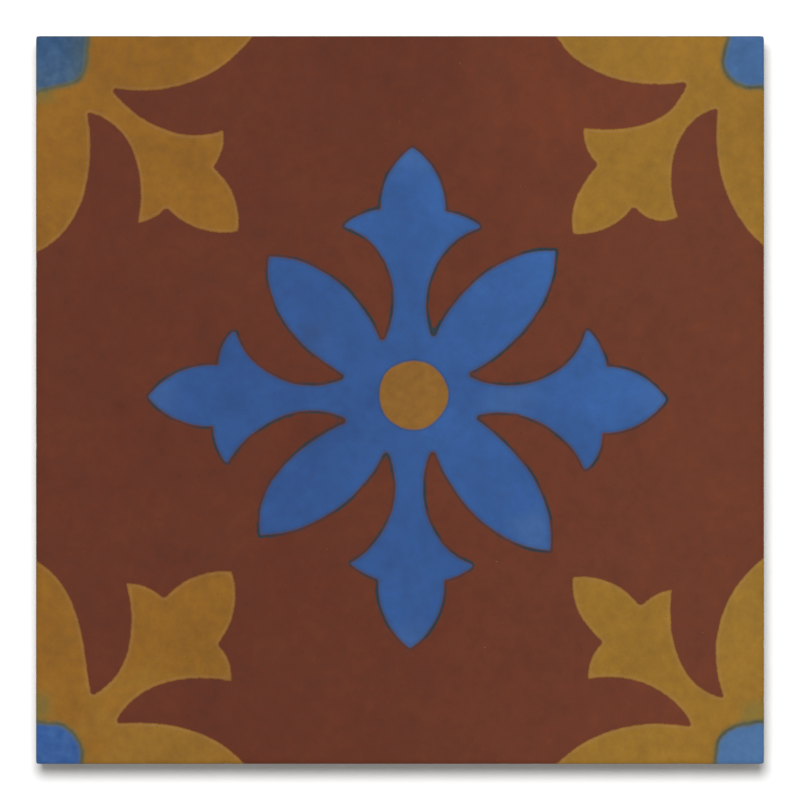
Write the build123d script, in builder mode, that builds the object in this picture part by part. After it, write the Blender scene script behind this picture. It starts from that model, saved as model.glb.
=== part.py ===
import os
from math import atan2, degrees, hypot
from build123d import *

# One encaustic cement tile, lying face up with the top of its pattern towards +Y, in millimetres.
# It is pressed in a square mould as one piece, with a pigmented face over a plain mortar back.
# Z 0 is the back that is bedded or rests on the floor, and Z 16 is the patterned face.

# Size of the slab
face_width = 200.0         # across the face, the standard 8 inch mould
thickness = 16.0           # back to face, five eighths of an inch
side_draw = 0.8            # how far each side is drawn in at the back, so that joints close at the face
arris = 0.4                # flat eased along the four edges of the face
colour_depth = 3.5         # depth of the pigmented layer under the face

# Keys pressed in the back, four shallow square panels between a rim and a cross of ribs
rim_width = 14.0
rib_width = 12.0
key_depth = 0.8
key_draft = 0.5            # how much the key is narrower at its floor, a side
key_corner = 6.0

# Outline of the blue flower, read off the face from its centre, to the right and up.
# A finger runs from one crotch out along its flare to the wing, over the shoulder to the tip and back.
# A flare is a smooth curve through its crotch, its waist, its bend and its wing.
flower_fingers = {
    "east": {
        "crotches": ((20.4, -4.7), (18.5, 7.0)),
        "waists": ((31.0, -3.7), (29.0, 3.9)),
        "bends": ((43.0, -9.0), (43.5, 8.1)),
        "wings": ((50.9, -18.9), (51.4, 19.1)),
        "shoulders": ((55.6, -9.1), (56.7, 9.1)),
        "wing_bows": (0.12, 0.09),
        "tip": (72.8, 0.1),
    },
    "north": {
        "crotches": ((9.2, 16.5), (-4.9, 15.9)),
        "waists": ((7.2, 28.0), (-1.6, 27.0)),
        "bends": ((11.4, 39.6), (-5.0, 39.5)),
        "wings": ((21.9, 47.6), (-15.2, 47.8)),
        "shoulders": ((12.5, 51.8), (-5.2, 52.3)),
        "wing_bows": (0.06, 0.09),
        "tip": (3.4, 69.2),
    },
    "west": {
        "crotches": ((-15.0, 6.4), (-14.2, -5.7)),
        "waists": ((-26.0, 3.9), (-25.0, -2.9)),
        "bends": ((-40.2, 10.6), (-38.5, -7.7)),
        "wings": ((-45.5, 18.8), (-47.6, -17.1)),
        "shoulders": ((-49.9, 9.6), (-51.2, -7.1)),
        "wing_bows": (0.11, 0.09),
        "tip": (-69.0, 0.9),
    },
    "south": {
        "crotches": ((-3.8, -13.6), (9.1, -13.5)),
        "waists": ((-1.3, -25.0), (6.2, -24.0)),
        "bends": ((-5.2, -36.9), (9.8, -37.0)),
        "wings": ((-13.4, -44.9), (19.8, -45.5)),
        "shoulders": ((-5.8, -49.3), (12.1, -49.5)),
        "wing_bows": (0.05, 0.07),
        "tip": (2.8, -68.1),
    },
}
# The petals between the fingers, going round from the right to the top. Each has two smooth sides,
# one to the tip and one back, with two points on each
flower_petals = {
    "north_east": {
        "tip": (42.9, 41.2),
        "sides": (((26.4, 12.2), (38.0, 24.8)), ((31.5, 39.2), (15.0, 26.4))),
    },
    "north_west": {
        "tip": (-36.3, 39.7),
        "sides": (((-8.5, 22.1), (-20.9, 34.9)), ((-32.9, 23.8), (-22.2, 11.7))),
    },
    "south_west": {
        "tip": (-38.6, -37.3),
        "sides": (((-22.1, -10.2), (-34.4, -21.2)), ((-27.3, -35.1), (-11.4, -24.6))),
    },
    "south_east": {
        "tip": (41.5, -41.6),
        "sides": (((12.6, -20.5), (28.4, -37.4)), ((39.6, -28.2), (27.7, -11.0))),
    },
}
leaf_bow = 0.130           # bow of the two sides of a finger's leaf
disc_centre = (3.7, 1.35)
disc_radius = 9.6

# Outlines of the ochre corner figures. Each starts on one edge of the tile at a half petal, takes in
# one finger that points to the centre, and ends at a half petal on the other edge. The blue quarter
# in the corner has two straight sides with a round between them.
corner_figures = {
    "north_west": {
        "edge_ends": ((-100.0, 40.8), (-40.7, 100.0)),
        "edge_sides": (((-91.2, 47.3), (-85.5, 61.5)), ((-66.5, 85.1), (-52.0, 89.6))),
        "crotches": ((-85.8, 78.9), (-79.3, 85.6)),
        "waists": ((-75.5, 71.8), (-70.0, 77.2)),
        "bends": ((-71.6, 60.0), (-59.5, 73.2)),
        "wings": ((-72.3, 48.4), (-48.5, 74.4)),
        "shoulders": ((-64.2, 52.7), (-51.2, 64.0)),
        "wing_bows": (0.09, 0.12),
        "tip": (-44.3, 46.2),
        "blue_ends": ((-100.0, 85.0), (-86.0, 100.0)),
        "blue_round": ((-91.5, 87.0), (-86.4, 93.0)),
        "blue_bow": 0.19,
    },
    "north_east": {
        "edge_ends": ((43.1, 100.0), (100.0, 42.5)),
        "edge_sides": (((52.0, 91.1), (65.0, 86.9)), ((87.0, 67.5), (90.8, 54.0))),
        "crotches": ((78.6, 87.1), (87.2, 80.0)),
        "waists": ((71.5, 77.9), (78.2, 73.6)),
        "bends": ((61.5, 74.8), (74.8, 63.0)),
        "wings": ((50.4, 74.9), (76.6, 50.2)),
        "shoulders": ((54.1, 64.7), (64.3, 53.0)),
        "wing_bows": (0.12, 0.19),
        "tip": (47.4, 45.5),
        "blue_ends": ((90.7, 100.0), (100.0, 86.2)),
        "blue_round": ((89.1, 93.0), (96.5, 86.1)),
        "blue_bow": 0.19,
    },
    "south_east": {
        "edge_ends": ((100.0, -43.7), (42.8, -100.0)),
        "edge_sides": (((91.0, -53.2), (86.8, -66.0)), ((67.5, -88.9), (54.5, -92.0))),
        "crotches": ((89.0, -81.8), (80.1, -89.7)),
        "waists": ((78.6, -74.5), (71.5, -80.2)),
        "bends": ((74.9, -64.0), (62.0, -76.7)),
        "wings": ((75.0, -51.9), (51.5, -76.9)),
        "shoulders": ((66.0, -56.1), (55.4, -66.6)),
        "wing_bows": (0.10, 0.11),
        "tip": (47.3, -48.5),
        "blue_ends": ((100.0, -88.9), (86.9, -100.0)),
        "blue_round": ((94.5, -89.2), (87.2, -97.0)),
        "blue_bow": 0.19,
    },
    "south_west": {
        "edge_ends": ((-42.6, -100.0), (-100.0, -43.9)),
        "edge_sides": (((-54.0, -91.8), (-66.0, -88.8)), ((-86.5, -69.0), (-89.8, -55.9))),
        "crotches": ((-78.0, -88.7), (-84.6, -80.9)),
        "waists": ((-69.0, -79.7), (-77.0, -73.8)),
        "bends": ((-58.0, -76.7), (-74.1, -63.5)),
        "wings": ((-46.1, -77.6), (-75.5, -50.2)),
        "shoulders": ((-49.9, -67.1), (-64.9, -54.1)),
        "wing_bows": (0.11, 0.10),
        "tip": (-46.1, -47.0),
        "blue_ends": ((-88.0, -100.0), (-100.0, -88.7)),
        "blue_round": ((-87.7, -96.5), (-94.0, -88.9)),
        "blue_bow": 0.12,
    },
}
overrun = 1.0              # how far a corner outline is carried past the edge of the tile


def distance(start, end):
    return hypot(end[0] - start[0], end[1] - start[1])


def bowed(start, end, bow):
    """A round side from start to end that swells to the right of the way it runs."""
    middle_x = (start[0] + end[0]) / 2 + bow * (end[1] - start[1])
    middle_y = (start[1] + end[1]) / 2 - bow * (end[0] - start[0])
    ThreePointArc(start, (middle_x, middle_y), end)


def smooth(start, second, third, end):
    """One smooth curve from start to end by way of two points on it."""
    first_run = distance(start, second)
    second_run = distance(second, third)
    whole = first_run + second_run + distance(third, end)
    u = first_run / whole
    v = (first_run + second_run) / whole
    weights = []
    for t in (u, v):
        weights.append(((1 - t) ** 3, 3 * t * (1 - t) ** 2, 3 * t ** 2 * (1 - t), t ** 3))
    a, b = weights
    spread = a[1] * b[2] - a[2] * b[1]
    handles = [[], []]
    for axis in (0, 1):
        p = second[axis] - a[0] * start[axis] - a[3] * end[axis]
        q = third[axis] - b[0] * start[axis] - b[3] * end[axis]
        handles[0].append((p * b[2] - q * a[2]) / spread)
        handles[1].append((q * a[1] - p * b[1]) / spread)
    Bezier(start, tuple(handles[0]), tuple(handles[1]), end)


def finger(shape):
    """The outline of one finger, from its first crotch round its tip to its second."""
    crotches = shape["crotches"]
    wings = shape["wings"]
    shoulders = shape["shoulders"]
    smooth(crotches[0], shape["waists"][0], shape["bends"][0], wings[0])
    bowed(wings[0], shoulders[0], shape["wing_bows"][0])
    bowed(shoulders[0], shape["tip"], leaf_bow)
    bowed(shape["tip"], shoulders[1], leaf_bow)
    bowed(shoulders[1], wings[1], shape["wing_bows"][1])
    smooth(wings[1], shape["bends"][1], shape["waists"][1], crotches[1])


def beyond(point):
    """The same place on the edge of the tile, moved out past it."""
    moved = []
    for value in point:
        if abs(value) >= face_width / 2:
            value = value + overrun * (1 if value > 0 else -1)
        moved.append(value)
    return tuple(moved)


# The slab: drawn in towards its back, with an arris round the face
shoulder_height = thickness - arris
with BuildPart() as slab:
    with BuildSketch(Plane.XY):
        Rectangle(face_width - 2 * side_draw, face_width - 2 * side_draw)
    with BuildSketch(Plane.XY.offset(shoulder_height)):
        Rectangle(face_width, face_width)
    loft()
    with BuildSketch(Plane.XY.offset(shoulder_height)):
        Rectangle(face_width, face_width)
    with BuildSketch(Plane.XY.offset(thickness)):
        Rectangle(face_width - 2 * arris, face_width - 2 * arris)
    loft()

# The keys in the back
key_width = (face_width - 2 * side_draw - 2 * rim_width - rib_width) / 2
key_pitch = key_width + rib_width
key_taper = degrees(atan2(key_draft, key_depth))
with BuildPart() as keys:
    with BuildSketch(Plane.XY):
        with GridLocations(key_pitch, key_pitch, 2, 2):
            RectangleRounded(key_width, key_width, key_corner)
    extrude(amount=key_depth, taper=key_taper)

# The blue flower, cast through the depth of the colour, less the ochre disc at its heart
face_plane = Plane.XY.offset(thickness)
finger_names = ("east", "north", "west", "south")
petal_names = ("north_east", "north_west", "south_west", "south_east")
with BuildPart() as flower:
    with BuildSketch(face_plane):
        with BuildLine():
            for place in range(4):
                this_finger = flower_fingers[finger_names[place]]
                next_finger = flower_fingers[finger_names[(place + 1) % 4]]
                petal = flower_petals[petal_names[place]]
                finger(this_finger)
                first_side, second_side = petal["sides"]
                smooth(this_finger["crotches"][1], first_side[0], first_side[1], petal["tip"])
                smooth(petal["tip"], second_side[0], second_side[1], next_finger["crotches"][0])
        make_face()
        with Locations(disc_centre):
            Circle(disc_radius, mode=Mode.SUBTRACT)
    extrude(amount=-colour_depth)

# The ochre disc
with BuildPart() as disc:
    with BuildSketch(face_plane):
        with Locations(disc_centre):
            Circle(disc_radius)
    extrude(amount=-colour_depth)

# The ochre corner figures and the blue quarter in each corner
ochre_corners = []
blue_corners = []
for name in corner_figures:
    shape = corner_figures[name]
    edge_ends = shape["edge_ends"]
    edge_sides = shape["edge_sides"]
    blue_ends = shape["blue_ends"]
    blue_round = shape["blue_round"]
    corner_x = (face_width / 2 + overrun) * (1 if shape["tip"][0] > 0 else -1)
    corner_y = (face_width / 2 + overrun) * (1 if shape["tip"][1] > 0 else -1)
    corner = (corner_x, corner_y)
    with BuildPart() as ochre_corner:
        with BuildSketch(face_plane):
            with BuildLine():
                Line(beyond(edge_ends[0]), edge_ends[0])
                smooth(edge_ends[0], edge_sides[0][0], edge_sides[0][1], shape["crotches"][0])
                finger(shape)
                smooth(shape["crotches"][1], edge_sides[1][0], edge_sides[1][1], edge_ends[1])
                Line(edge_ends[1], beyond(edge_ends[1]))
                Line(beyond(edge_ends[1]), corner)
                Line(corner, beyond(edge_ends[0]))
            make_face()
        extrude(amount=-colour_depth)
        add(slab.part, mode=Mode.INTERSECT)
    with BuildPart() as blue_corner:
        with BuildSketch(face_plane):
            with BuildLine():
                Line(beyond(blue_ends[0]), blue_ends[0])
                Line(blue_ends[0], blue_round[0])
                bowed(blue_round[0], blue_round[1], shape["blue_bow"])
                Line(blue_round[1], blue_ends[1])
                Line(blue_ends[1], beyond(blue_ends[1]))
                Line(beyond(blue_ends[1]), corner)
                Line(corner, beyond(blue_ends[0]))
            make_face()
        extrude(amount=-colour_depth)
        add(slab.part, mode=Mode.INTERSECT)
    with BuildPart() as ochre_rest:
        add(ochre_corner.part)
        add(blue_corner.part, mode=Mode.SUBTRACT)
    ochre_corners.append(ochre_rest.part)
    blue_corners.append(blue_corner.part)

# The tile: the keyed slab with every colour's outline lying in the face of the one solid
colours = [flower.part, disc.part] + ochre_corners + blue_corners
with BuildPart() as tile:
    add(slab.part)
    add(keys.part, mode=Mode.SUBTRACT)
    for colour in colours:
        add(colour, mode=Mode.SUBTRACT)
    for colour in colours:
        add(colour, clean=False)

tile.part.label = "tile"
os.makedirs("parts", exist_ok=True)
export_step(tile.part, "parts/tile.step")
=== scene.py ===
import math
import random
import bpy
import numpy as np
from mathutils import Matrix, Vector, kdtree, noise
from mathutils.geometry import delaunay_2d_cdt


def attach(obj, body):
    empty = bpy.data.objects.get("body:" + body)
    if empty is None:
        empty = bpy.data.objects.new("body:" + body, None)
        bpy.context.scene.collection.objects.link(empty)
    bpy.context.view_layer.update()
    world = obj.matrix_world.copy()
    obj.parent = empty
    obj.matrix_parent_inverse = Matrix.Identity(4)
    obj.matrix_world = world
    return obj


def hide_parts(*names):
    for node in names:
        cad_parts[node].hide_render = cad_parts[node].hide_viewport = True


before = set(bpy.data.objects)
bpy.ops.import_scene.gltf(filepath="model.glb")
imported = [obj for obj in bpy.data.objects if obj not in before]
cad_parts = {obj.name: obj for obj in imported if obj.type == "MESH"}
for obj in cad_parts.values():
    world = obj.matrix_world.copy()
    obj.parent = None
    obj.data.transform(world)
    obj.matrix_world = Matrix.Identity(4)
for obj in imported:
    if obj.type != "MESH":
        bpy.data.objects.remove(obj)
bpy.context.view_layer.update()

# The tile
# One encaustic cement tile, pressed in a square mould: coloured cement 3.5 mm deep over sandy grey mortar.
# The colours were poured between thin brass dividers, which leave a fine seam where two pigments meet.
# It lies loose on its back, with nothing fixed to it.

# Sizes in millimetres, with the origin at the middle of the back
half_face = 100.0
thickness = 16.0
side_draw = 0.8
arris = 0.4
colour_depth = 3.5
rim_width = 14.0
rib_width = 12.0
key_depth = 0.8
key_draft = 0.5
key_corner = 6.0

# Outline of the blue flower, from the middle of the face, to the right and up
flower_fingers = {
    "east": {
        "crotches": ((20.4, -4.7), (18.5, 7.0)),
        "waists": ((31.0, -3.7), (29.0, 3.9)),
        "bends": ((43.0, -9.0), (43.5, 8.1)),
        "wings": ((50.9, -18.9), (51.4, 19.1)),
        "shoulders": ((55.6, -9.1), (56.7, 9.1)),
        "wing_bows": (0.12, 0.09),
        "tip": (72.8, 0.1),
    },
    "north": {
        "crotches": ((9.2, 16.5), (-4.9, 15.9)),
        "waists": ((7.2, 28.0), (-1.6, 27.0)),
        "bends": ((11.4, 39.6), (-5.0, 39.5)),
        "wings": ((21.9, 47.6), (-15.2, 47.8)),
        "shoulders": ((12.5, 51.8), (-5.2, 52.3)),
        "wing_bows": (0.06, 0.09),
        "tip": (3.4, 69.2),
    },
    "west": {
        "crotches": ((-15.0, 6.4), (-14.2, -5.7)),
        "waists": ((-26.0, 3.9), (-25.0, -2.9)),
        "bends": ((-40.2, 10.6), (-38.5, -7.7)),
        "wings": ((-45.5, 18.8), (-47.6, -17.1)),
        "shoulders": ((-49.9, 9.6), (-51.2, -7.1)),
        "wing_bows": (0.11, 0.09),
        "tip": (-69.0, 0.9),
    },
    "south": {
        "crotches": ((-3.8, -13.6), (9.1, -13.5)),
        "waists": ((-1.3, -25.0), (6.2, -24.0)),
        "bends": ((-5.2, -36.9), (9.8, -37.0)),
        "wings": ((-13.4, -44.9), (19.8, -45.5)),
        "shoulders": ((-5.8, -49.3), (12.1, -49.5)),
        "wing_bows": (0.05, 0.07),
        "tip": (2.8, -68.1),
    },
}
flower_petals = {
    "north_east": {
        "tip": (42.9, 41.2),
        "sides": (((26.4, 12.2), (38.0, 24.8)), ((31.5, 39.2), (15.0, 26.4))),
    },
    "north_west": {
        "tip": (-36.3, 39.7),
        "sides": (((-8.5, 22.1), (-20.9, 34.9)), ((-32.9, 23.8), (-22.2, 11.7))),
    },
    "south_west": {
        "tip": (-38.6, -37.3),
        "sides": (((-22.1, -10.2), (-34.4, -21.2)), ((-27.3, -35.1), (-11.4, -24.6))),
    },
    "south_east": {
        "tip": (41.5, -41.6),
        "sides": (((12.6, -20.5), (28.4, -37.4)), ((39.6, -28.2), (27.7, -11.0))),
    },
}
leaf_bow = 0.130
heart_centre = (3.7, 1.35)
heart_radius = 9.6

# Each swell of the heart's rim: its height, how many go round, and the angle where they start
heart_swells = ((0.10, 3, 0.6), (0.08, 5, 2.0))

# Outlines of the four ochre corner figures and the blue quarters in them
corner_figures = {
    "north_west": {
        "edge_ends": ((-100.0, 40.8), (-40.7, 100.0)),
        "edge_sides": (((-91.2, 47.3), (-85.5, 61.5)), ((-66.5, 85.1), (-52.0, 89.6))),
        "crotches": ((-85.8, 78.9), (-79.3, 85.6)),
        "waists": ((-75.5, 71.8), (-70.0, 77.2)),
        "bends": ((-71.6, 60.0), (-59.5, 73.2)),
        "wings": ((-72.3, 48.4), (-48.5, 74.4)),
        "shoulders": ((-64.2, 52.7), (-51.2, 64.0)),
        "wing_bows": (0.09, 0.12),
        "tip": (-44.3, 46.2),
        "blue_ends": ((-100.0, 85.0), (-86.0, 100.0)),
        "blue_round": ((-91.5, 87.0), (-86.4, 93.0)),
        "blue_bow": 0.19,
    },
    "north_east": {
        "edge_ends": ((43.1, 100.0), (100.0, 42.5)),
        "edge_sides": (((52.0, 91.1), (65.0, 86.9)), ((87.0, 67.5), (90.8, 54.0))),
        "crotches": ((78.6, 87.1), (87.2, 80.0)),
        "waists": ((71.5, 77.9), (78.2, 73.6)),
        "bends": ((61.5, 74.8), (74.8, 63.0)),
        "wings": ((50.4, 74.9), (76.6, 50.2)),
        "shoulders": ((54.1, 64.7), (64.3, 53.0)),
        "wing_bows": (0.12, 0.19),
        "tip": (47.4, 45.5),
        "blue_ends": ((90.7, 100.0), (100.0, 86.2)),
        "blue_round": ((89.1, 93.0), (96.5, 86.1)),
        "blue_bow": 0.19,
    },
    "south_east": {
        "edge_ends": ((100.0, -43.7), (42.8, -100.0)),
        "edge_sides": (((91.0, -53.2), (86.8, -66.0)), ((67.5, -88.9), (54.5, -92.0))),
        "crotches": ((89.0, -81.8), (80.1, -89.7)),
        "waists": ((78.6, -74.5), (71.5, -80.2)),
        "bends": ((74.9, -64.0), (62.0, -76.7)),
        "wings": ((75.0, -51.9), (51.5, -76.9)),
        "shoulders": ((66.0, -56.1), (55.4, -66.6)),
        "wing_bows": (0.10, 0.11),
        "tip": (47.3, -48.5),
        "blue_ends": ((100.0, -88.9), (86.9, -100.0)),
        "blue_round": ((94.5, -89.2), (87.2, -97.0)),
        "blue_bow": 0.19,
    },
    "south_west": {
        "edge_ends": ((-42.6, -100.0), (-100.0, -43.9)),
        "edge_sides": (((-54.0, -91.8), (-66.0, -88.8)), ((-86.5, -69.0), (-89.8, -55.9))),
        "crotches": ((-78.0, -88.7), (-84.6, -80.9)),
        "waists": ((-69.0, -79.7), (-77.0, -73.8)),
        "bends": ((-58.0, -76.7), (-74.1, -63.5)),
        "wings": ((-46.1, -77.6), (-75.5, -50.2)),
        "shoulders": ((-49.9, -67.1), (-64.9, -54.1)),
        "wing_bows": (0.11, 0.10),
        "tip": (-46.1, -47.0),
        "blue_ends": ((-88.0, -100.0), (-100.0, -88.7)),
        "blue_round": ((-87.7, -96.5), (-94.0, -88.9)),
        "blue_bow": 0.12,
    },
}


def straight(start, end, step):
    """Points along a straight side, without its end."""
    start = np.array(start)
    end = np.array(end)
    count = max(1, round(float(np.hypot(*(end - start))) / step))
    share = np.arange(count)[:, None] / count
    return start + (end - start) * share


def bowed(start, end, bow, step):
    """Points along a round side that swells to the right of the way it runs, without its end."""
    start = np.array(start)
    end = np.array(end)
    chord = end - start
    length = float(np.hypot(*chord))
    right = np.array((chord[1], -chord[0])) / length
    rise = bow * length
    radius = (length ** 2 / 4 + rise ** 2) / (2 * rise)
    centre = (start + end) / 2 + right * (rise - radius)
    half_turn = math.asin(length / 2 / radius)
    count = max(2, round(2 * half_turn * radius / step))
    turn = (-half_turn + 2 * half_turn * np.arange(count) / count)[:, None]
    return centre + radius * (right * np.cos(turn) + chord / length * np.sin(turn))


def smooth(start, second, third, end, step):
    """Points along one smooth curve that passes through four points, without its end."""
    ends = np.array((start, end))
    passed = np.array((second, third))
    runs = np.hypot(*np.diff(np.array((start, second, third, end)), axis=0).T)
    times = np.cumsum(runs)[:2] / runs.sum()
    outer = np.stack(((1 - times) ** 3, times ** 3), axis=1)
    inner = np.stack((3 * times * (1 - times) ** 2, 3 * times ** 2 * (1 - times)), axis=1)
    handles = np.linalg.solve(inner, passed - outer @ ends)
    count = max(2, round(float(runs.sum()) / step))
    t = np.arange(count)[:, None] / count
    near = (1 - t) ** 3 * ends[0] + 3 * t * (1 - t) ** 2 * handles[0]
    return near + 3 * t ** 2 * (1 - t) * handles[1] + t ** 3 * ends[1]


def finger(shape, step):
    """The outline of one finger, from its first crotch round its tip to its second."""
    crotches = shape["crotches"]
    waists = shape["waists"]
    bends = shape["bends"]
    wings = shape["wings"]
    shoulders = shape["shoulders"]
    tip = shape["tip"]
    sides = [smooth(crotches[0], waists[0], bends[0], wings[0], step)]
    sides.append(bowed(wings[0], shoulders[0], shape["wing_bows"][0], step))
    sides.append(bowed(shoulders[0], tip, leaf_bow, step))
    sides.append(bowed(tip, shoulders[1], leaf_bow, step))
    sides.append(bowed(shoulders[1], wings[1], shape["wing_bows"][1], step))
    sides.append(smooth(wings[1], bends[1], waists[1], crotches[1], step))
    return sides


def flower_line(step):
    """The closed outline of the blue flower."""
    fingers = list(flower_fingers.values())
    petals = list(flower_petals.values())
    sides = []
    for place in range(4):
        following = fingers[(place + 1) % 4]
        petal = petals[place]
        sides.extend(finger(fingers[place], step))
        first_side, second_side = petal["sides"]
        sides.append(smooth(fingers[place]["crotches"][1], first_side[0], first_side[1], petal["tip"], step))
        sides.append(smooth(petal["tip"], second_side[0], second_side[1], following["crotches"][0], step))
    return np.vstack(sides)


def heart_line(step):
    """The closed outline of the ochre heart, a circle filled a little unevenly by hand."""
    count = round(2 * math.pi * heart_radius / step)
    turn = 2 * math.pi * np.arange(count) / count
    radius = heart_radius
    for height, swells, start in heart_swells:
        radius = radius + height * np.sin(swells * turn + start)
    x = heart_centre[0] + radius * np.cos(turn)
    y = heart_centre[1] + radius * np.sin(turn)
    return np.stack((x, y), axis=1)


def corner_line(shape, step):
    """The outline of an ochre corner figure, from one edge of the tile to the other."""
    edge_ends = shape["edge_ends"]
    edge_sides = shape["edge_sides"]
    sides = [smooth(edge_ends[0], edge_sides[0][0], edge_sides[0][1], shape["crotches"][0], step)]
    sides.extend(finger(shape, step))
    sides.append(smooth(shape["crotches"][1], edge_sides[1][0], edge_sides[1][1], edge_ends[1], step))
    sides.append(np.array((edge_ends[1],)))
    return np.vstack(sides)


def quarter_line(shape, step):
    """The outline of a blue quarter, from one edge of the tile to the other."""
    ends = shape["blue_ends"]
    rounds = shape["blue_round"]
    sides = [straight(ends[0], rounds[0], step)]
    sides.append(bowed(rounds[0], rounds[1], shape["blue_bow"], step))
    sides.append(straight(rounds[1], ends[1], step))
    sides.append(np.array((ends[1],)))
    return np.vstack(sides)


def inside(points, outline):
    """Whether each point lies in a closed outline, by counting the sides that it is left of."""
    result = np.zeros(len(points), dtype=bool)
    following = np.roll(outline, -1, axis=0)
    low = outline.min(axis=0)
    high = outline.max(axis=0)
    near = np.flatnonzero(((points > low) & (points < high)).all(axis=1))
    for chosen in np.array_split(near, max(1, len(near) // 2000)):
        x = points[chosen, 0][:, None]
        y = points[chosen, 1][:, None]
        spans = (outline[:, 1] > y) != (following[:, 1] > y)
        rise = following[:, 1] - outline[:, 1]
        rise = np.where(rise == 0, 1e-9, rise)
        crossing = outline[:, 0] + (y - outline[:, 1]) * (following[:, 0] - outline[:, 0]) / rise
        result[chosen] = (spans & (x < crossing)).sum(axis=1) % 2 == 1
    return result


def tree_of(points):
    """A search tree of flat points."""
    tree = kdtree.KDTree(len(points))
    for index, point in enumerate(points):
        tree.insert((point[0], point[1], 0.0), index)
    tree.balance()
    return tree


def distance_to(tree, points):
    """How far each flat point is from the nearest point of the tree."""
    result = np.empty(len(points))
    for index, point in enumerate(points):
        result[index] = tree.find((point[0], point[1], 0.0))[2]
    return result


# A point this near an outline is on it, and no distance is kept past the limit
on_line = 0.06
field_limit = 6.0

# How far out a corner's outline is closed, and how near the edge its ends lie
beyond_edge = 2.0
edge_slack = 0.01


def signed(points, line, outline):
    """Distance of each point to a line, above zero inside the outline."""
    away = distance_to(tree_of(line), points)
    away = np.where(away < on_line, 0.0, away)
    away = np.minimum(away, field_limit)
    return np.where(inside(points, outline), away, -away)


def closed_at_corner(line, shape):
    """A corner's open outline closed round the outside of the tile."""
    side_x = math.copysign(half_face + beyond_edge, shape["tip"][0])
    side_y = math.copysign(half_face + beyond_edge, shape["tip"][1])
    ends = []
    for x, y in (line[-1], line[0]):
        ends_at_x = abs(x) > half_face - edge_slack
        ends_at_y = abs(y) > half_face - edge_slack
        ends.append((side_x if ends_at_x else x, side_y if ends_at_y else y))
    return np.vstack((line, (ends[0],), ((side_x, side_y),), (ends[1],)))


def seam_lines(step):
    """Every outline: the flower and its heart, then a figure and a quarter for each corner."""
    lines = [flower_line(step), heart_line(step)]
    for shape in corner_figures.values():
        lines.append(corner_line(shape, step))
        lines.append(quarter_line(shape, step))
    return lines


# Where the triangles go: every seam is a row of real edges, with closer rows beside it
seam_step = 0.62
fine_step = 0.1
row_offsets = (-0.75, -0.3, 0.3, 0.75)
row_clear = 0.85
columns = 200
ring_size = 4 * columns
weld = 1e-5
inner_half = half_face - arris
seam_margin = 0.7
seam_limit = inner_half - seam_margin
seams = seam_lines(seam_step)
fine_seams = seam_lines(fine_step)
all_seams = tree_of(np.vstack(fine_seams))

flat_points = []
flat_edges = []


def add_line(points, closed):
    """Adds a line of points to the flat mesh, with the edges that join them."""
    first = len(flat_points)
    count = len(points)
    flat_points.extend(points.tolist())
    for place in range(count - 1):
        flat_edges.append((first + place, first + place + 1))
    if closed:
        flat_edges.append((first + count - 1, first))


def square_ring(half, count):
    """Points round a square, count to a side, from its south west corner and anticlockwise."""
    along = -half + 2 * half * np.arange(count) / count
    level = np.full(count, half)
    south = np.stack((along, -level), axis=1)
    east = np.stack((level, along), axis=1)
    north = np.stack((-along, level), axis=1)
    west = np.stack((-level, -along), axis=1)
    return np.vstack((south, east, north, west))


def beside(points, closed, offset):
    """The points a small way to one side of a line, less those that would crowd another seam."""
    if closed:
        way = np.roll(points, -1, axis=0) - np.roll(points, 1, axis=0)
    else:
        way = np.gradient(points, axis=0)
    way = way / np.hypot(way[:, 0], way[:, 1])[:, None]
    moved = points + np.stack((way[:, 1], -way[:, 0]), axis=1) * offset
    clear = distance_to(all_seams, moved) > abs(offset) * row_clear
    return moved[clear & (np.abs(moved) < seam_limit).all(axis=1)]


def triangulated(points, edges):
    """The points as cut, the triangles between them that keep to the edges, and where the first ring went."""
    cut = delaunay_2d_cdt([Vector(point) for point in points], edges, [], 0, weld)
    ring = [None] * ring_size
    for index, sources in enumerate(cut[3]):
        for source in sources:
            if source < ring_size:
                ring[source] = index
    return np.array([tuple(point) for point in cut[0]]), cut[2], ring


add_line(square_ring(inner_half, columns), True)
seam_rows = []
for index, line in enumerate(seams):
    closed = index < 2
    kept = line if closed else line[(np.abs(line) < seam_limit).all(axis=1)]
    add_line(kept, closed)
    for offset in row_offsets:
        seam_rows.append(beside(kept, closed, offset))

# Small pinholes left by air in the slip, each a ring of points round a sunk middle
random.seed(41)
hole_count = 26
hole_place = 96.0
hole_clear = 1.6
hole_radii = (0.16, 0.3)
hole_depths = (0.08, 0.18)
hole_rings = ((0.6, 7), (1.0, 9), (1.6, 9))
pinholes = [(68.0, -29.0, 0.34, 0.22), (-58.5, -71.0, 0.25, 0.15), (-93.5, 62.5, 0.3, 0.16)]
while len(pinholes) < hole_count:
    spot = (random.uniform(-hole_place, hole_place), random.uniform(-hole_place, hole_place))
    if distance_to(all_seams, np.array((spot,)))[0] > hole_clear:
        pinholes.append(spot + (random.uniform(*hole_radii), random.uniform(*hole_depths)))
hole_points = []
for x, y, radius, depth in pinholes:
    hole_points.append((x, y))
    for share, count in hole_rings:
        for place in range(count):
            turn = 2 * math.pi * (place + 0.5 * share) / count
            hole_points.append((x + radius * share * math.cos(turn), y + radius * share * math.sin(turn)))
hole_tree = tree_of(np.array([hole[:2] for hole in pinholes]))

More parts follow.
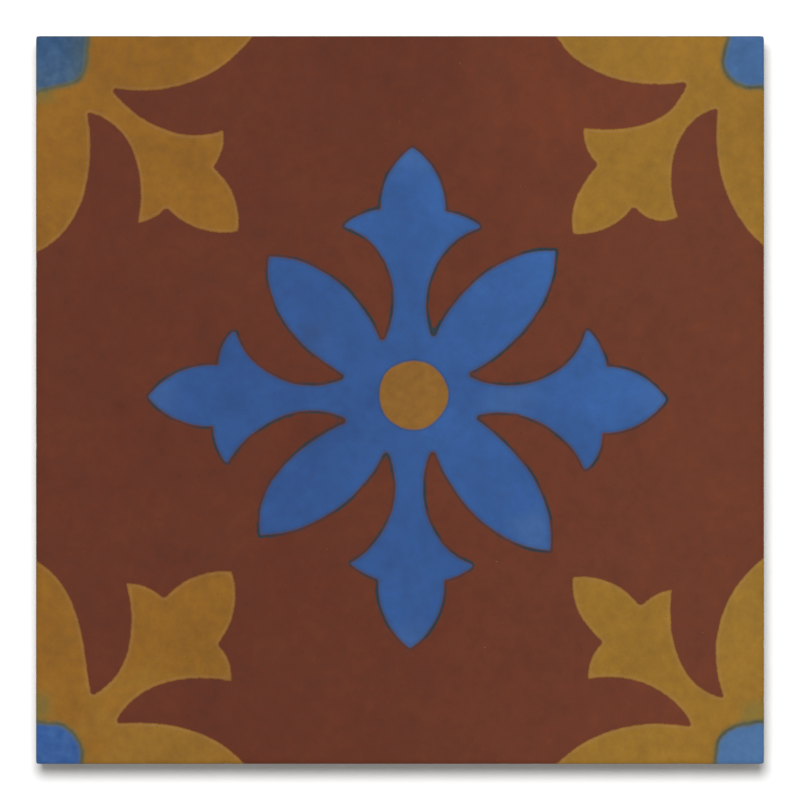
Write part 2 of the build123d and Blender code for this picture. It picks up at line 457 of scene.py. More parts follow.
# An even scatter over the rest of the face, clear of the seams and the pinholes
rng = np.random.default_rng(12)
pitch = 1.35
row_share = 0.866
scatter_start = -inner_half + 1.0
scatter_end = inner_half - 0.6
stray = 0.16
seam_gap = 1.25
hole_gap = 0.9
scatter = []
for place, y in enumerate(np.arange(scatter_start, scatter_end, pitch * row_share)):
    x = np.arange(scatter_start + (place % 2) * pitch / 2, scatter_end, pitch)
    scatter.append(np.stack((x, np.full(len(x), y)), axis=1))
scatter = np.vstack(scatter)
scatter = scatter + rng.uniform(-stray, stray, scatter.shape)
scatter = scatter[distance_to(all_seams, scatter) > seam_gap]
scatter = scatter[distance_to(hole_tree, scatter) > hole_gap]
loose = np.vstack(seam_rows + [np.array(hole_points), scatter])
flat_points.extend(loose.tolist())
face_points, face_triangles, face_ring = triangulated(flat_points, flat_edges)


def wave(x, y, z, length):
    """Smooth noise from -1 to 1, with a wavelength in millimetres."""
    return noise.noise(Vector((x / length, y / length, z / length)))


def swell(x, y, z, length):
    """Smooth noise from 0 to 1, with a wavelength in millimetres."""
    return 0.5 + 0.5 * wave(x, y, z, length)


def corner_fields(points):
    """The signed distances of some points to the ochre figures and to the blue quarters."""
    ochre = np.full(len(points), -field_limit)
    quarter = np.full(len(points), -field_limit)
    for place, shape in enumerate(corner_figures.values()):
        first = 2 + 2 * place
        figure = closed_at_corner(seams[first], shape)
        ochre = np.maximum(ochre, signed(points, fine_seams[first], figure))
        figure = closed_at_corner(seams[first + 1], shape)
        quarter = np.maximum(quarter, signed(points, fine_seams[first + 1], figure))
    return ochre, quarter


# How far each point of the face is from each outline
flower_away = signed(face_points, fine_seams[0], seams[0])
heart_away = signed(face_points, fine_seams[1], seams[1])
ochre_away, quarter_away = corner_fields(face_points)
round_reach = 4.0
round_clear = 0.97


def eased(values, line, closed, spots, radius):
    """Rounds a distance field near its sharp corners, or near hollow ones for a radius below zero."""
    near = np.flatnonzero(distance_to(tree_of(np.array(spots)), face_points) < round_reach)
    way = np.roll(line, -1, axis=0) - np.roll(line, 1, axis=0) if closed else np.gradient(line, axis=0)
    way = way / np.hypot(way[:, 0], way[:, 1])[:, None]
    moved = line - np.stack((way[:, 1], -way[:, 0]), axis=1) * radius
    moved = moved[distance_to(tree_of(line), moved) > round_clear * abs(radius)]
    away = distance_to(tree_of(moved), face_points[near])
    result = values.copy()
    result[near] = np.where(values[near] > radius, away, -away) + radius
    return result


def corners_of(shapes, name):
    """The places of one kind of corner on some fingers."""
    spots = []
    for shape in shapes:
        spots.extend(shape[name] if name != "tip" else [shape[name]])
    return spots


def crept(values, points, spots, creep, reach):
    """Moves an outline out near some spots, or in when the creep is below zero."""
    gap = distance_to(tree_of(np.array(spots)), points)
    return values + creep * np.exp(-(gap / reach) ** 2)


# Where two sides of a divider meet, its strip was bent to a small round
finger_crotches = corners_of(flower_fingers.values(), "crotches")
finger_wings = corners_of(flower_fingers.values(), "wings")
finger_shoulders = corners_of(flower_fingers.values(), "shoulders")
finger_tips = corners_of(flower_fingers.values(), "tip")
petal_tips = corners_of(flower_petals.values(), "tip")
flower_rounds = (
    (finger_wings + finger_tips + petal_tips, 0.22),
    (finger_crotches, -0.8),
    (finger_shoulders, -0.4),
)
ochre_sharp_round = 0.45
ochre_hollow_round = -0.5
for spots, radius in flower_rounds:
    flower_away = eased(flower_away, fine_seams[0], True, spots, radius)
for place, shape in enumerate(corner_figures.values()):
    line = fine_seams[2 + 2 * place]
    sharp = corners_of((shape,), "wings") + corners_of((shape,), "tip")
    hollow = corners_of((shape,), "crotches") + corners_of((shape,), "shoulders")
    ochre_away = eased(ochre_away, line, False, sharp, ochre_sharp_round)
    ochre_away = eased(ochre_away, line, False, hollow, ochre_hollow_round)

# The slip crept past the divider in some places and fell short of it in others, by some tenths of a
# millimetre: the places, how far it crept, and over what reach
full_petals = [(-15.0, 28.5), (-27.0, 17.0), (20.0, -29.0), (34.0, -20.0)]
full_ochre = [(-100.0, 40.8), (-40.7, 100.0), (43.1, 100.0), (46.0, 98.0), (100.0, 42.5), (100.0, -43.7)]
scant_ochre = [(53.5, -63.0), (68.0, -54.5), (51.5, 60.0), (-55.0, -49.0), (-62.0, -52.0)]
scant_quarters = [(98.5, 85.5), (-95.0, -88.6), (92.0, -90.5)]
full_ochre_creep = (0.35, 6.0)
scant_ochre_creep = (-0.35, 5.0)
scant_quarter_creep = (-0.40, 4.0)
flower_creeps = (
    (finger_wings, 0.24, 4.0),
    (finger_tips, 0.20, 6.0),
    (petal_tips, -0.28, 6.0),
    (finger_crotches, -0.30, 3.5),
    (full_petals, 0.30, 8.0),
)
for spots, creep, reach in flower_creeps:
    flower_away = crept(flower_away, face_points, spots, creep, reach)
ochre_away = crept(ochre_away, face_points, full_ochre, *full_ochre_creep)
ochre_away = crept(ochre_away, face_points, scant_ochre, *scant_ochre_creep)
quarter_away = crept(quarter_away, face_points, scant_quarters, *scant_quarter_creep)

# Each seam is a fine groove: its outline, its depth, how far outside it runs, and its half width
grooves = (
    (flower_away, 0.060, 0.3, 0.3),
    (heart_away, 0.035, 0.0, 0.3),
    (ochre_away, 0.030, 0.1, 0.35),
    (quarter_away, 0.030, 0.2, 0.4),
)
groove = np.zeros(len(face_points))
for away, depth, shift, width in grooves:
    groove = groove + depth * np.exp(-((away + shift) / width) ** 2)

# The face is nearly flat, dished by a few hundredths of a millimetre
dish_depth = 0.030
dish_length = 38.0
ripple_depth = 0.008
ripple_length = 6.0
face_height = np.empty(len(face_points))
for index, (x, y) in enumerate(face_points):
    dish = dish_depth * swell(x, y, 3.0, dish_length) + ripple_depth * swell(x, y, 9.0, ripple_length)
    face_height[index] = thickness - dish - groove[index] * (0.75 + 0.5 * wave(x, y, 5.0, 4.0))
for x, y, radius, depth in pinholes:
    near = np.hypot(face_points[:, 0] - x, face_points[:, 1] - y) / radius
    face_height = face_height - depth * np.clip(1 - near ** 2, 0, 1) ** 0.7

# The face's vertices, and where each of its triangles goes in the flat layout: 0 is the face, 1 to 4 are
# the sides and 5 is the back
vertices = [(x, y, z) for (x, y), z in zip(face_points, face_height)]
faces = [tuple(triangle) for triangle in face_triangles]
kinds = [0] * len(faces)

# The arris and the sides, ring below ring, drawn in towards the back and sandy below the colour: how far
# each ring of the arris lies out from the face, nothing for a ring of the sides, and its height
ring_heights = [(0.10, 15.93), (0.25, 15.78), (0.40, 15.58)]
for height in (15.1, 14.4, 13.7, 13.0, 12.4, 11.8, 10.6, 9.2, 7.8, 6.4, 5.0, 3.6, 2.3, 1.2, 0.5):
    ring_heights.append((0.0, height))
sandy_below = 12.2
chipped_above = 15.3
worn_corner = 0.9
worn_depth = 0.14


def side_wear(x, y, height, out):
    """How far a side is worn in: a little in the colour, more in the sandy mortar, and chips at the arris."""
    if height > sandy_below:
        wear = 0.020 * swell(x, y, height, 3.0)
    else:
        wear = 0.09 * swell(x, y, height, 1.6) + 0.05 * swell(x, y, height, 7.0)
    if height > chipped_above:
        chip = max(0.0, wave(x, y, 20.0, 5.0) - 0.42) * 0.7
        wear = wear + chip * (0.4 if out < 0.2 else 1.0)
    return wear


unit_ring = square_ring(1.0, columns)
last_ring = face_ring
for out, height in ring_heights:
    if out > 0:
        half = inner_half + out
    else:
        half = half_face - side_draw + side_draw * height / (thickness - arris)
    this_ring = []
    for unit_x, unit_y in unit_ring:
        x = unit_x * half
        y = unit_y * half
        corner = max(0.0, 1.0 - (1.0 - min(abs(unit_x), abs(unit_y))) * half / worn_corner)
        wear = side_wear(x, y, height, out) + worn_depth * corner ** 2
        shrink = (half - wear) / half
        drop = 0.5 * wear if out > 0 else 0.0
        this_ring.append(len(vertices))
        vertices.append((x * shrink, y * shrink, height - drop))
    for place in range(ring_size):
        after = (place + 1) % ring_size
        faces.append((last_ring[place], this_ring[place], this_ring[after], last_ring[after]))
        kinds.append(1 + place // columns if out == 0 else 0)
    last_ring = this_ring

# The back: rough mortar with four shallow keys between its rim and ribs
back_arris = 0.45
back_half = half_face - side_draw - back_arris
key_half = (2 * (half_face - side_draw) - 2 * rim_width - rib_width) / 4
key_centre = key_half + rib_width / 2
key_step = 1.2
key_corner_bow = 0.2071
back_count = 7200
back_margin = 1.2
back_gap = 1.0
at_line = 0.02


def key_line(centre_x, centre_y, half, corner, step):
    """A square with rounded corners, anticlockwise."""
    sides = []
    flat = half - corner
    for quarter in range(4):
        turn = math.pi / 2 * quarter
        cos = math.cos(turn)
        sin = math.sin(turn)
        first = (centre_x + half * cos + flat * sin, centre_y + half * sin - flat * cos)
        second = (centre_x + half * cos - flat * sin, centre_y + half * sin + flat * cos)
        third = (centre_x + flat * cos - half * sin, centre_y + flat * sin + half * cos)
        sides.append(straight(first, second, step))
        sides.append(bowed(second, third, key_corner_bow, step))
    return np.vstack(sides)


flat_points = []
flat_edges = []
add_line(square_ring(back_half, columns), True)
key_mouths = []
key_beds = []
for sign_x in (-1, 1):
    for sign_y in (-1, 1):
        centre_x = sign_x * key_centre
        centre_y = sign_y * key_centre
        mouth = key_line(centre_x, centre_y, key_half, key_corner, key_step)
        bed = key_line(centre_x, centre_y, key_half - key_draft, key_corner - key_draft, key_step)
        add_line(mouth, True)
        add_line(bed, True)
        key_mouths.append(mouth)
        key_beds.append(bed)
key_tree = tree_of(np.vstack(key_mouths + key_beds))
scatter = rng.uniform(-back_half + back_margin, back_half - back_margin, (back_count, 2))
scatter = scatter[distance_to(key_tree, scatter) > back_gap]
flat_points.extend(scatter.tolist())
back_points, back_triangles, back_ring = triangulated(flat_points, flat_edges)
sunk = np.zeros(len(back_points), dtype=bool)
for bed in key_beds:
    sunk = sunk | inside(back_points, bed) | (distance_to(tree_of(bed), back_points) < at_line)
first = len(vertices)
for index, (x, y) in enumerate(back_points):
    rough = 0.10 * max(0.0, wave(x, y, 40.0, 2.6)) + 0.06 * max(0.0, wave(x, y, 60.0, 9.0))
    vertices.append((x, y, (key_depth if sunk[index] else 0.0) + rough))
for a, b, c in back_triangles:
    faces.append((first + a, first + c, first + b))
    kinds.append(5)
for place in range(ring_size):
    after = (place + 1) % ring_size
    faces.append((last_ring[place], first + back_ring[place], first + back_ring[after], last_ring[after]))
    kinds.append(1 + place // columns)

millimetre = 0.001
mesh = bpy.data.meshes.new("tile_body")
mesh.from_pydata([(x * millimetre, y * millimetre, z * millimetre) for x, y, z in vertices], [], faces)
mesh.update()


def add_field(name, values):
    """Keeps one value for each vertex, for the material to read."""
    layer = mesh.attributes.new(name, "FLOAT", "POINT")
    layer.data.foreach_set("value", values.astype(np.float32))


# How far each vertex is from each outline, for the pigments to follow, the sides included
rim_reach = 1.2
rim_inset = 0.02
positions = np.clip(np.array(vertices)[:, :2], -half_face, half_face)
rest = positions[len(face_points):]
rim = np.flatnonzero(np.abs(rest).max(axis=1) > half_face - rim_reach)
edge_points = rest[rim] / np.abs(rest[rim]).max(axis=1)[:, None] * (half_face - rim_inset)
far_off = np.full(len(rest), -field_limit)
rest_ochre = far_off.copy()
rest_quarter = far_off.copy()
rest_ochre[rim], rest_quarter[rim] = corner_fields(edge_points)
rest_ochre[rim] = crept(rest_ochre[rim], edge_points, full_ochre, *full_ochre_creep)
add_field("flower", np.concatenate((flower_away, far_off)))
add_field("heart", np.concatenate((heart_away, far_off)))
add_field("ochre", np.concatenate((ochre_away, rest_ochre)))
add_field("quarter", np.concatenate((quarter_away, rest_quarter)))

# What stains the tile has, each a place on the face, a reach in millimetres and a share: a dark smudge left
# of the flower, a redder place, dull and pale places in the blue, and where the quarters bled into the ochre
stains = {
    "smudge": [(-76.5, -1.5, 5.5, 0.17)],
    "rust": [(45.0, 85.0, 32.0, 0.20)],
    "dull": [
        (2.5, -52.0, 10.0, 0.16),
        (28.0, -27.0, 5.0, 0.30),
        (-23.5, 17.0, 8.0, 0.46),
        (29.0, 26.0, 12.0, 0.12),
    ],
    "pale": [(37.0, -36.5, 10.0, 0.24), (31.0, 0.0, 11.0, 0.16)],
    "warm": [(-66.0, -98.0, 32.0, 0.26), (95.0, -60.0, 26.0, 0.22), (62.0, -98.0, 26.0, 0.12)],
    "haze": [(97.5, -86.5, 6.0, 0.36), (-98.5, 84.0, 5.5, 0.42), (-99.5, -84.5, 6.0, 0.44)],
}
pale_tip_reach = 11.0
pale_tip_share = 0.17
stain_stray = 0.32
stain_softness = 0.85
for x, y in finger_tips:
    stains["pale"].append((x, y, pale_tip_reach, pale_tip_share))
for name, spots in stains.items():
    stained = np.zeros(len(positions))
    for x, y, reach, share in spots:
        gap = np.hypot(positions[:, 0] - x, positions[:, 1] - y)
        for index in np.flatnonzero(gap < 1.4 * reach):
            gap[index] += stain_stray * reach * wave(positions[index, 0], positions[index, 1], 70.0, 5.5)
        soft = np.clip((reach - gap) / (stain_softness * reach), 0, 1)
        stained = np.maximum(stained, share * soft ** 2 * (3 - 2 * soft))
    add_field(name, stained)

# A flat layout for the picture maps: the face takes most of it, the sides lie above and the back beside
layout = mesh.uv_layers.new(name="OFBake")
layout_edge = 0.004
face_share = 0.742
upper_edge = 0.754
back_share = 0.24
side_share = 0.0595
side_pitch = 0.0615
layout_places = np.empty((len(mesh.loops), 2), dtype=np.float32)
for polygon in mesh.polygons:
    kind = kinds[polygon.index]
    for loop in polygon.loop_indices:
        x, y, z = vertices[mesh.loops[loop].vertex_index]
        across = x / (2 * half_face) + 0.5
        up = y / (2 * half_face) + 0.5
        if kind == 0:
            layout_places[loop] = (layout_edge + across * face_share, layout_edge + up * face_share)
        elif kind == 5:
            layout_places[loop] = (upper_edge + across * back_share, upper_edge + up * back_share)
        else:
            along = (x, y, -x, -y)[kind - 1] / (2 * half_face) + 0.5
            level = upper_edge + (kind - 1) * side_pitch + z / thickness * side_share
            layout_places[loop] = (layout_edge + along * face_share, level)
layout.data.foreach_set("uv", layout_places.ravel())
sharp_angle = math.radians(50)
mesh.set_sharp_from_angle(angle=sharp_angle)
mesh.shade_smooth()
tile = bpy.data.objects.new("tile_body", mesh)
bpy.context.collection.objects.link(tile)


def paint(red, green, blue):
    """A colour read off the photo, from 0 to 255, as the shader takes it."""
    result = []
    for value in (red, green, blue):
        value = value / 255
        result.append(value / 12.92 if value <= 0.04045 else ((value + 0.055) / 1.055) ** 2.4)
    return (result[0], result[1], result[2], 1.0)


# The pigments with their clouds and stains
clay_left = paint(99, 46.5, 29)
clay_right = paint(110.5, 55, 34.5)
clay_cloud = paint(102, 53, 33)
clay_smudge = paint(62, 30, 22)
clay_rust = paint(130, 60, 30)
blue_deep = paint(45, 79.5, 137)
blue_light = paint(54.5, 97.5, 161)
blue_dull = paint(50, 72, 116)
blue_pale = paint(86, 123, 174)
blue_shore = paint(50, 66, 84)
ochre_left = paint(141, 93.5, 28)
ochre_right = paint(150, 108.5, 36)
ochre_cloud = paint(147, 105, 36)
ochre_warm = paint(160, 126, 52)
ochre_haze = paint(84, 106, 60)
ochre_rim = paint(178, 140, 116)
heart_deep = paint(137.5, 94, 35)
heart_light = paint(142, 98, 39)
quarter_north_west = paint(49, 82, 120)
quarter_north_east = paint(65, 101, 148)
quarter_south_west = paint(45, 84.5, 149)
quarter_south_east = paint(74, 112, 158)
quarter_cloud = paint(78, 110, 150)
quarter_gone_green = paint(72, 88, 92)
quarter_fringe = paint(94, 97, 68)

# The seams, the grit and the mortar
seam_dark = paint(43, 58, 66)
quarter_seam_dark = paint(48, 62, 58)
grit_dark = paint(48, 38, 34)
grit_pale = paint(150, 128, 105)
mortar_deep = paint(134, 128, 117)
mortar_light = paint(176, 170, 157)
sand_dark = paint(97, 92, 84)
sand_pale = paint(186, 181, 168)
# The painted shade in the mortar's pits
pit_shade = paint(76, 71, 63)
worn_pale = paint(168, 156, 143)

material = bpy.data.materials.new("pigmented_cement")
material.use_nodes = True
nodes = material.node_tree.nodes
links = material.node_tree.links
nodes.clear()


def join(source, socket):
    """Links a socket to an input, or sets the input when the source is a plain value."""
    if isinstance(source, bpy.types.NodeSocket):
        links.new(source, socket)
    else:
        socket.default_value = source


def calc(operation, first, second=0.0, third=0.0):
    """One step of arithmetic."""
    node = nodes.new("ShaderNodeMath")
    node.operation = operation
    join(first, node.inputs[0])
    join(second, node.inputs[1])
    join(third, node.inputs[2])
    return node.outputs[0]


def between(value, low, high, start=0.0, end=1.0):
    """A soft step: start below low, end above high."""
    node = nodes.new("ShaderNodeMapRange")
    node.interpolation_type = "SMOOTHSTEP"
    join(value, node.inputs["Value"])
    join(low, node.inputs["From Min"])
    join(high, node.inputs["From Max"])
    join(start, node.inputs["To Min"])
    join(end, node.inputs["To Max"])
    return node.outputs["Result"]


def blend(share, first, second):
    """A mix of two colours."""
    node = nodes.new("ShaderNodeMix")
    node.data_type = "RGBA"
    join(share, node.inputs[0])
    join(first, node.inputs[6])
    join(second, node.inputs[7])
    return node.outputs[2]


def mottle(length, detail, roughness, offset):
    """Noise with a wavelength in millimetres, centred on zero and reaching about one each way."""
    node = nodes.new("ShaderNodeTexNoise")
    node.noise_dimensions = "4D"
    join(place_mm, node.inputs["Vector"])
    join(offset, node.inputs["W"])
    join(1.0 / length, node.inputs["Scale"])
    join(detail, node.inputs["Detail"])
    join(roughness, node.inputs["Roughness"])
    return calc("MULTIPLY_ADD", node.outputs["Fac"], 4.0, -2.0)


def field(name):
    """A value kept at each vertex: the distance to an outline, or the share of a stain."""
    node = nodes.new("ShaderNodeAttribute")
    node.attribute_name = name
    return node.outputs["Fac"]


def total(*parts):
    """The sum of several values."""
    result = parts[0]
    for part in parts[1:]:
        result = calc("ADD", result, part)
    return result


def scaled(value, factor):
    """A value times a factor."""
    return calc("MULTIPLY", value, factor)


def stretched(vector, factor):
    """A place or a colour times a factor."""
    node = nodes.new("ShaderNodeVectorMath")
    node.operation = "SCALE"
    join(vector, node.inputs[0])
    join(factor, node.inputs["Scale"])
    return node.outputs[0]


def either(share, first, second):
    """A mix of two plain values."""
    node = nodes.new("ShaderNodeMix")
    node.data_type = "FLOAT"
    join(share, node.inputs[0])
    join(first, node.inputs[2])
    join(second, node.inputs[3])
    return node.outputs[0]


def specks(scale):
    """Scattered round specks: how far each place is from its speck's middle, and two random values of it."""
    cells = nodes.new("ShaderNodeTexVoronoi")
    cells.feature = "F1"
    join(place_mm, cells.inputs["Vector"])
    join(scale, cells.inputs["Scale"])
    parts = nodes.new("ShaderNodeSeparateColor")
    join(cells.outputs["Color"], parts.inputs[0])
    return cells.outputs["Distance"], parts.outputs[0], parts.outputs[1]


def wandering(name, slow, fast, sand):
    """An outline as its pigment really ran, wandering a little off the divider."""
    return total(field(name), scaled(edge_slow, slow), scaled(edge_fast, fast), scaled(edge_sand, sand))


where = nodes.new("ShaderNodeTexCoord")
place_mm = stretched(where.outputs["Object"], 1 / millimetre)
apart = nodes.new("ShaderNodeSeparateXYZ")
links.new(place_mm, apart.inputs[0])
x_mm = apart.outputs[0]
y_mm = apart.outputs[1]
z_mm = apart.outputs[2]

# Noise of several sizes, for the tones, for the grain and for the wander of the outlines
broad = mottle(42.0, 3.0, 0.5, 1.0)
middle = mottle(11.0, 4.0, 0.6, 2.0)
patch = mottle(5.5, 3.0, 0.6, 9.0)
small = mottle(2.6, 4.0, 0.6, 3.0)
grain = mottle(0.42, 2.0, 0.5, 4.0)
cloud = mottle(24.0, 3.0, 0.55, 5.0)
edge_slow = mottle(7.0, 2.0, 0.5, 6.0)
edge_fast = mottle(1.3, 3.0, 0.6, 7.0)
edge_sand = mottle(0.5, 2.0, 0.6, 8.0)

# How far each place is inside each outline, in millimetres, and below zero outside
flower_edge = wandering("flower", 0.15, 0.08, 0.03)
heart_edge = wandering("heart", 0.10, 0.08, 0.05)
ochre_edge = wandering("ochre", 0.08, 0.13, 0.14)
quarter_edge = wandering("quarter", 0.35, 0.20, 0.10)

# Each colour is lighter to the right, and the blue also towards the top, with faint clouds
rightward = between(total(x_mm, scaled(broad, 6.0)), -25.0, 95.0)
clay = blend(rightward, clay_left, clay_right)
clay = blend(between(cloud, -1.1, 1.1, 0.0, 0.4), clay, clay_cloud)
up_right = between(total(y_mm, scaled(x_mm, 0.6)), 10.0, 75.0, 0.0, 0.55)
blue_tone = total(scaled(rightward, 0.50), up_right, scaled(cloud, 0.22), scaled(middle, 0.14), 0.06)
blue = blend(between(blue_tone, -0.3, 1.1), blue_deep, blue_light)
ochre_side = between(total(x_mm, scaled(cloud, 20.0)), -60.0, 60.0)
ochre = blend(ochre_side, ochre_left, ochre_right)
ochre = blend(between(middle, -1.0, 1.0, 0.0, 0.3), ochre, ochre_cloud)
heart = blend(between(small, -1.0, 1.0), heart_deep, heart_light)

# Each quarter is a blue of its own, and the north west one has gone partly green
quarter_north = blend(between(x_mm, -1.0, 1.0), quarter_north_west, quarter_north_east)
quarter_south = blend(between(x_mm, -1.0, 1.0), quarter_south_west, quarter_south_east)
corner_blue = blend(between(y_mm, -1.0, 1.0), quarter_south, quarter_north)
north_west = calc("MULTIPLY", between(x_mm, 0.0, -1.0), between(y_mm, 0.0, 1.0))
green_clouds = between(total(middle, scaled(small, 0.7)), -0.5, 0.9, 0.0, 0.40)
green_share = calc("MULTIPLY", north_west, total(green_clouds, between(x_mm, -94.0, -88.0, 0.0, 0.5)))
corner_blue = blend(green_share, corner_blue, quarter_gone_green)
corner_blue = blend(between(total(cloud, small), -0.8, 1.2, 0.0, 0.35), corner_blue, quarter_cloud)

# The stains, each in its own pigment
clay = blend(field("smudge"), clay, clay_smudge)
clay = blend(field("rust"), clay, clay_rust)
blue = blend(field("dull"), blue, blue_dull)
blue = blend(field("pale"), blue, blue_pale)
ochre = blend(field("warm"), ochre, ochre_warm)
ochre = blend(field("haze"), ochre, ochre_haze)

# One pigment over the next, with the pale rim in the ochre, the green fringe and the darker shore
face = blend(between(ochre_edge, -0.05, 0.45), clay, ochre)
pale_rim = between(calc("ABSOLUTE", total(ochre_edge, -0.8)), 0.0, 0.5, 0.12, 0.0)
face = blend(pale_rim, face, ochre_rim)
face = blend(between(quarter_edge, -1.95, -0.3, 0.0, 0.9), face, quarter_fringe)
face = blend(between(quarter_edge, -0.6, 0.9), face, corner_blue)
shore = blend(between(flower_edge, 0.1, 1.25, 0.34, 0.0), blue, blue_shore)
face = blend(between(flower_edge, -0.30, 0.34), face, shore)
face = blend(between(heart_edge, -0.30, 0.55), face, heart)

# The seam round the flower: a dark blue grey line just outside the blue, thick and thin
seam_width = calc("MAXIMUM", total(0.36, scaled(edge_slow, 0.12), scaled(middle, 0.09)), 0.08)
seam_near = calc("ABSOLUTE", total(flower_edge, 0.46))
seam = between(seam_near, scaled(seam_width, 0.45), scaled(seam_width, 1.45), 1.0, 0.0)
seam_strength = between(total(edge_slow, scaled(edge_fast, 0.35), scaled(middle, 0.9)), -0.7, 0.7, 0.44, 1.0)
face = blend(calc("MULTIPLY", seam, seam_strength), face, seam_dark)
heart_near = calc("ABSOLUTE", total(heart_edge, 0.10))
heart_seam = between(heart_near, 0.05, 0.55, 0.35, 0.0)
face = blend(heart_seam, face, seam_dark)
quarter_near = calc("ABSOLUTE", total(quarter_edge, 0.45))
quarter_seam = between(quarter_near, 0.1, 0.75, between(edge_slow, -0.7, 0.7, 0.20, 0.54), 0.0)
face = blend(quarter_seam, face, quarter_seam_dark)

# A few dark and pale specks of grit, scattered
grit_away, grit_luck, grit_shade = specks(0.30)
grit_size = between(grit_luck, 0.80, 1.0, 0.0, 0.075)
grit_spot = between(calc("SUBTRACT", grit_away, grit_size), -0.03, 0.0, 1.0, 0.0)
grit_spot = calc("MULTIPLY", grit_spot, between(grit_luck, 0.80, 0.82))
grit_tone = blend(between(grit_shade, 0.45, 0.55), grit_dark, grit_pale)
face = blend(scaled(grit_spot, 0.45), face, grit_tone)

# Light and dark mottling over the whole face, strongest in the ochre corners and faintest in the flower
loud = total(1.45, between(flower_edge, 0.0, 0.5, 0.0, -0.25), between(ochre_edge, 0.0, 0.5, 0.0, 0.15))
uneven = total(scaled(broad, 0.026), scaled(middle, 0.056), scaled(patch, 0.056), scaled(small, 0.072))
uneven = total(uneven, scaled(grain, 0.026))
tone = total(1.0, calc("MULTIPLY", uneven, loud))
face = stretched(face, tone)

# The mortar: grey, sandy and pitted, with painted shade darkening its pits
sand_away, sand_luck, sand_shade = specks(1.15)
mortar_cloud = mottle(16.0, 4.0, 0.6, 11.0)
mortar_small = mottle(2.0, 4.0, 0.65, 12.0)
pit_noise = mottle(1.5, 3.0, 0.6, 13.0)
mortar_tone = total(scaled(mortar_cloud, 0.7), scaled(mortar_small, 0.9))
mortar = blend(between(mortar_tone, -1.3, 1.3), mortar_deep, mortar_light)
grain_round = between(sand_away, 0.18, 0.34, 1.0, 0.0)
grain_pick = between(sand_luck, 0.40, 0.45)
grain_tone = blend(sand_shade, sand_dark, sand_pale)
mortar = blend(calc("MULTIPLY", grain_round, scaled(grain_pick, 0.7)), mortar, grain_tone)
# Painted shade: the pits are darkened in colour as well as sunk by the bump below
pit = between(pit_noise, 0.60, 0.95)
mortar = blend(scaled(pit, 0.75), mortar, pit_shade)

# The colour ends in a wavering line down the sides, with some mortar rubbed over it
line_height = total(thickness - colour_depth, scaled(edge_slow, 0.35), scaled(small, 0.22))
is_mortar = between(calc("SUBTRACT", z_mm, line_height), -0.15, 0.15, 1.0, 0.0)
on_side = between(z_mm, thickness - arris - 0.5, thickness - arris, 1.0, 0.0)
rubbed = calc("MULTIPLY", on_side, between(total(mortar_small, middle), -1.2, 1.6, 0.04, 0.42))
face = blend(rubbed, face, mortar)
worn = between(total(z_mm, scaled(small, 0.05)), thickness - 0.45, thickness - 0.07, 1.0, 0.0)
worn = calc("MULTIPLY", worn, calc("SUBTRACT", 1.0, on_side))
face = blend(scaled(worn, 0.30), face, worn_pale)
colour = blend(is_mortar, face, mortar)

# Relief finer than the mesh: a fine sanded grain on the face, grit and pits in the mortar
face_relief = total(scaled(grain, 0.0035), scaled(small, 0.005), scaled(grit_spot, -0.03))
mortar_relief = total(scaled(mortar_small, 0.07), scaled(grain_round, 0.05), scaled(pit, -0.22))
mortar_relief = total(mortar_relief, scaled(grain, 0.02))
bump = nodes.new("ShaderNodeBump")
bump.inputs["Strength"].default_value = 1.0
bump.inputs["Distance"].default_value = millimetre
join(either(is_mortar, face_relief, mortar_relief), bump.inputs["Height"])
mortar_rough = 0.92
face_rough = total(0.66, scaled(middle, 0.03), scaled(small, 0.05), scaled(seam, 0.15))
shader = nodes.new("ShaderNodeBsdfPrincipled")
shader.inputs["Specular IOR Level"].default_value = 0.12
join(colour, shader.inputs["Base Color"])
join(either(is_mortar, face_rough, mortar_rough), shader.inputs["Roughness"])
join(bump.outputs[0], shader.inputs["Normal"])
output = nodes.new("ShaderNodeOutputMaterial")
join(shader.outputs[0], output.inputs["Surface"])
mesh.materials.append(material)
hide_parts("tile")
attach(tile, "root")

# The floor, the light and the camera
# A white studio floor under the tile, lit from nearly overhead by one wide soft lamp a little behind it.
# The camera looks straight down, and the tile fills as much of the frame as the pattern does of the photo.
floor_half = 3.0
floor_white = 0.80
floor_white_seen = 1.12
glow_from = 0.20
glow_to = 0.45
floor_mesh = bpy.data.meshes.new("floor")
floor_corners = [(-floor_half, -floor_half, 0), (floor_half, -floor_half, 0)]
floor_corners += [(floor_half, floor_half, 0), (-floor_half, floor_half, 0)]
floor_mesh.from_pydata(floor_corners, [], [(0, 1, 2, 3)])
floor_mesh.update()
floor = bpy.data.objects.new("floor", floor_mesh)
bpy.context.collection.objects.link(floor)

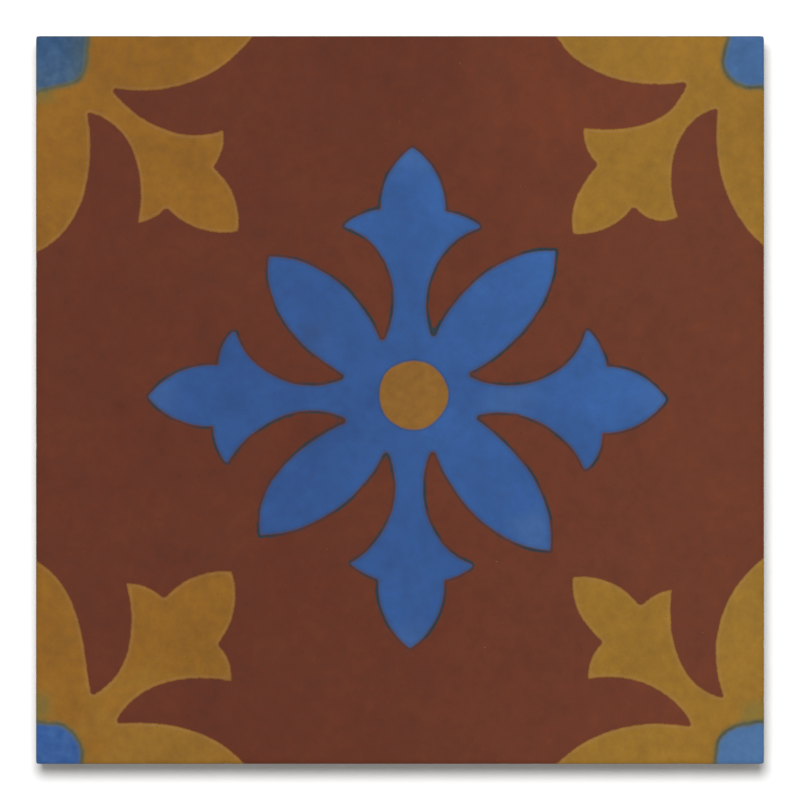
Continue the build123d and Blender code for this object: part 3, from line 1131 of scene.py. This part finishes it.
# The camera sees the paper turn to an even white away from the tile
paper = bpy.data.materials.new("white_floor")
paper.use_nodes = True
nodes = paper.node_tree.nodes
links = paper.node_tree.links
nodes.clear()
seen = nodes.new("ShaderNodeLightPath").outputs["Is Camera Ray"]
lit_paper = nodes.new("ShaderNodeBsdfDiffuse")
join(between(seen, 0.0, 1.0, floor_white, floor_white_seen), lit_paper.inputs["Color"])
paper_place = nodes.new("ShaderNodeTexCoord")
paper_reach = nodes.new("ShaderNodeVectorMath")
paper_reach.operation = "LENGTH"
join(paper_place.outputs["Object"], paper_reach.inputs[0])
paper_far = between(paper_reach.outputs["Value"], glow_from, glow_to)
even_white = nodes.new("ShaderNodeEmission")
even_white.inputs["Strength"].default_value = 1.0
paper_mix = nodes.new("ShaderNodeMixShader")
join(calc("MULTIPLY", paper_far, seen), paper_mix.inputs[0])
join(lit_paper.outputs[0], paper_mix.inputs[1])
join(even_white.outputs[0], paper_mix.inputs[2])
paper_output = nodes.new("ShaderNodeOutputMaterial")
join(paper_mix.outputs[0], paper_output.inputs["Surface"])
paper.cycles.emission_sampling = "NONE"
floor_mesh.materials.append(paper)

# The room gives a little light from all sides, and looks white
room_light = 0.27
room_light_seen = 1.0
world = bpy.data.worlds.new("studio")
bpy.context.scene.world = world
world.use_nodes = True
nodes = world.node_tree.nodes
links = world.node_tree.links
nodes.clear()
seen = nodes.new("ShaderNodeLightPath").outputs["Is Camera Ray"]
sky = nodes.new("ShaderNodeBackground")
sky.inputs["Color"].default_value = (1.0, 1.0, 1.0, 1.0)
join(between(seen, 0.0, 1.0, room_light, room_light_seen), sky.inputs["Strength"])
sky_output = nodes.new("ShaderNodeOutputWorld")
join(sky.outputs[0], sky_output.inputs["Surface"])

# The lamp, a wide soft disk, and how far, how high and how much to one side it hangs
lamp = bpy.data.lights.new("key", "AREA")
lamp.shape = "DISK"
lamp.size = 0.82
lamp.energy = 55.5
key_distance = 2.76
key_rise = math.radians(78.8)
key_side = -0.085
face_level = thickness * millimetre
key = bpy.data.objects.new("key", lamp)
key.location = (key_side, key_distance * math.cos(key_rise), key_distance * math.sin(key_rise))
key_aim = Vector((0.0, 0.0, face_level)) - key.location
key.rotation_euler = key_aim.to_track_quat("-Z", "Y").to_euler()
bpy.context.collection.objects.link(key)

# How wide the photo is, and how much of it the pattern takes up
photo_pixels = 800
pattern_pixels = 728
frame_width = 2 * half_face * millimetre * photo_pixels / pattern_pixels
camera_data = bpy.data.cameras.new("camera")
camera_data.lens = 600
camera_data.sensor_width = 36
camera = bpy.data.objects.new("camera", camera_data)
camera.location = (0.0, 0.0, face_level + frame_width * camera_data.lens / camera_data.sensor_width)
camera.rotation_euler = (0.0, 0.0, 0.0)
bpy.context.collection.objects.link(camera)
bpy.context.scene.camera = camera
bpy.context.scene.view_settings.view_transform = "Standard"
